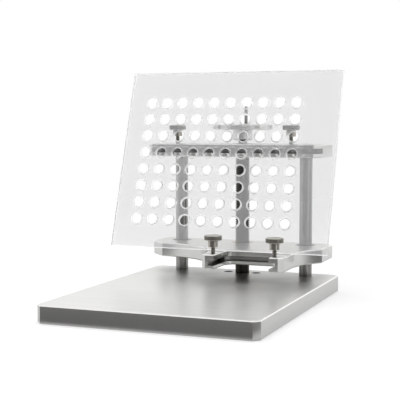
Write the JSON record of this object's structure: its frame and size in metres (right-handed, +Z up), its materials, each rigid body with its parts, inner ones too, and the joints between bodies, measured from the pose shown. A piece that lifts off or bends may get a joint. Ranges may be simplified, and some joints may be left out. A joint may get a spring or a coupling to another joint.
{
  "type": "ecu test frame",
  "caption": "Bench frame for a circuit board under test: base plate, guide posts, grooved carriage raised by a lead screw with a handwheel, grooved top plate and a loose clear perforated panel.",
  "frame": {"origin": "on the base plate's underside, which the frame stands on, half-way from its front to its back edge and midway between the two posts", "axes": "+Z up along the posts, +Y from the open front of the base plate to the posts, +X to the right seen from the front"},
  "size_m": [0.205, 0.2546, 0.2054],
  "materials": {
    "plate_aluminium": "satin, milled and bead-blasted",
    "turned_aluminium": "turned, satin",
    "ground_steel": "ground, bright",
    "screw_steel": "rolled thread, oiled",
    "nickel": "nickel plated, knurled rim",
    "black_screw": "black oxide",
    "black_sleeve": "black oxide",
    "bronze": "machined",
    "bush_plastic": "machined, matt",
    "clear_acrylic": "clear, faintly milky"
  },
  "bodies": {
    "stand": {"base_plate": "plate_aluminium", "guide_post_left": "ground_steel", "guide_post_right": "ground_steel", "post_screws_lower": "black_screw", "top_plate": "plate_aluminium", "post_screws_upper": "black_screw", "foot_bearing": "bronze", "foot_bearing_screws": "black_screw", "neck_bush": "bronze", "stop_collar": "black_sleeve"},
    "spindle": {"lead_screw": "screw_steel", "handwheel": "turned_aluminium", "crank_pin": "ground_steel", "hub_set_screw": "black_screw"},
    "carriage_unit": {"carriage": "plate_aluminium", "guide_bush_left": "bush_plastic", "guide_bush_right": "bush_plastic", "carriage_nut": "bronze", "nut_screws": "black_screw"},
    "front_screw_left": {"front_thumb_screw_left": "nickel"},
    "front_screw_right": {"front_thumb_screw_right": "nickel"},
    "top_screw_left": {"top_thumb_screw_left": "nickel"},
    "top_screw_right": {"top_thumb_screw_right": "nickel"},
    "panel": {"perforated_panel": "clear_acrylic"}
  },
  "joints": [
    {"name": "spindle_turn", "type": "hinge", "parent": "stand", "child": "spindle", "pos_m": [0, 0.1046, 0.1], "axis": [0, 0, 1], "range_deg": [-14400, 0]},
    {"name": "carriage_lift", "type": "slide", "parent": "stand", "child": "carriage_unit", "axis": [0, 0, 1], "range_m": [0, 0.08]},
    {"name": "front_screw_left_turn_in", "type": "slide", "parent": "carriage_unit", "child": "front_screw_left", "axis": [0, 0, 1], "range_m": [-0.0048, 0.003]},
    {"name": "front_screw_right_turn_in", "type": "slide", "parent": "carriage_unit", "child": "front_screw_right", "axis": [0, 0, 1], "range_m": [-0.0048, 0.003]},
    {"name": "top_screw_left_turn_in", "type": "slide", "parent": "stand", "child": "top_screw_left", "axis": [0, 0, 1], "range_m": [-0.0048, 0]},
    {"name": "top_screw_right_turn_in", "type": "slide", "parent": "stand", "child": "top_screw_right", "axis": [0, 0, 1], "range_m": [-0.0048, 0]},
    {"name": "panel_lift", "type": "slide", "parent": "carriage_unit", "child": "panel", "axis": [0, 0, 1], "range_m": [0, 0.1]}
  ],
  "couplings": [
    {"joint": "spindle_turn", "follows": "carriage_lift", "rad_per_m": -3141.6}
  ]
}
